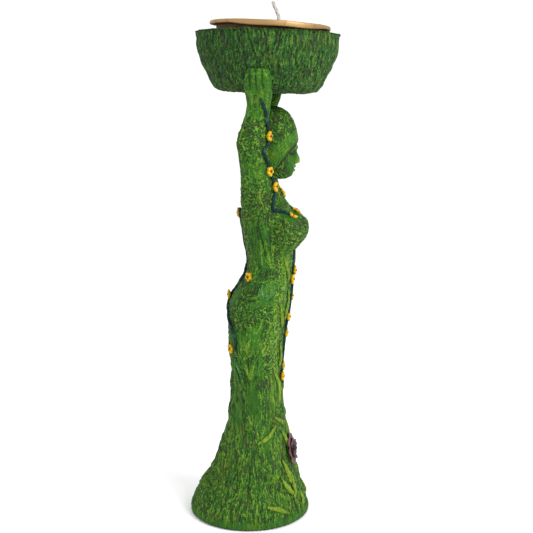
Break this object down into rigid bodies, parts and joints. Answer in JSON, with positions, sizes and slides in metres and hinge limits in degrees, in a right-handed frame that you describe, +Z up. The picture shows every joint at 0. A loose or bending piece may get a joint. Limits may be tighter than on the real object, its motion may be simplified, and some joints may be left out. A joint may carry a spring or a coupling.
{
  "type": "candle holder figure",
  "caption": "Painted clay candle holder: a woman who grows out of a flared mossy trunk, with vines and flowers round her, lifts a bowl over her head with a brass cup for a tealight.",
  "frame": {"origin": "centre of the round foot where it rests on the table", "axes": "+Z up, the figure faces -Y, her left side is +X"},
  "size_m": [0.0556, 0.0596, 0.2005],
  "materials": {
    "moss_clay": "matte",
    "bark_clay": "matte",
    "vine_clay": "matte",
    "petal_clay": "matte",
    "flower_eye": "matte",
    "grass_clay": "matte",
    "leaf_clay": "matte",
    "bloom_clay": "matte",
    "felt": "matte",
    "brass": "satin",
    "aluminium": "satin",
    "wax": "satin",
    "cotton": "matte",
    "tinned_steel": "satin"
  },
  "bodies": {
    "figure": {"felt_pad": "felt", "skirt_trunk": "bark_clay", "hips": "moss_clay", "torso": "moss_clay", "right_breast": "moss_clay", "left_breast": "moss_clay", "neck": "moss_clay", "head": "moss_clay", "hair": "bark_clay", "right_arm": "moss_clay", "left_arm": "moss_clay", "bowl": "bark_clay", "right_arm_vine": "vine_clay", "left_arm_vine": "vine_clay", "spine_vine": "vine_clay", "right_hip_vine": "vine_clay", "left_hip_vine": "vine_clay", "front_vine": "vine_clay", "right_arm_petals": "petal_clay", "right_arm_flower_eyes": "flower_eye", "left_arm_petals": "petal_clay", "left_arm_flower_eyes": "flower_eye", "chest_petals": "petal_clay", "chest_flower_eyes": "flower_eye", "back_petals": "petal_clay", "back_flower_eyes": "flower_eye", "hip_petals": "petal_clay", "hip_flower_eyes": "flower_eye", "front_petals": "petal_clay", "front_flower_eyes": "flower_eye", "right_grass": "grass_clay", "left_grass": "grass_clay", "right_fern_leaf": "leaf_clay", "left_fern_leaf": "leaf_clay", "back_leaves": "leaf_clay", "bloom_outer_petals": "bloom_clay", "bloom_inner_petals": "bloom_clay", "bloom_heart": "bloom_clay"},
    "cup": {"candle_cup": "brass"},
    "tealight": {"tealight_cup": "aluminium"},
    "candle": {"tealight_wax": "wax", "wick": "cotton", "wick_holder": "tinned_steel"}
  },
  "joints": [
    {"name": "cup_lift", "type": "slide", "parent": "figure", "child": "cup", "axis": [0, -0.0541, 0.9985], "range_m": [0, 0.024]},
    {"name": "tealight_lift", "type": "slide", "parent": "cup", "child": "tealight", "axis": [0, -0.0541, 0.9985], "range_m": [0, 0.02]},
    {"name": "wax_lift", "type": "slide", "parent": "tealight", "child": "candle", "axis": [0, -0.0541, 0.9985], "range_m": [0, 0.018]}
  ]
}
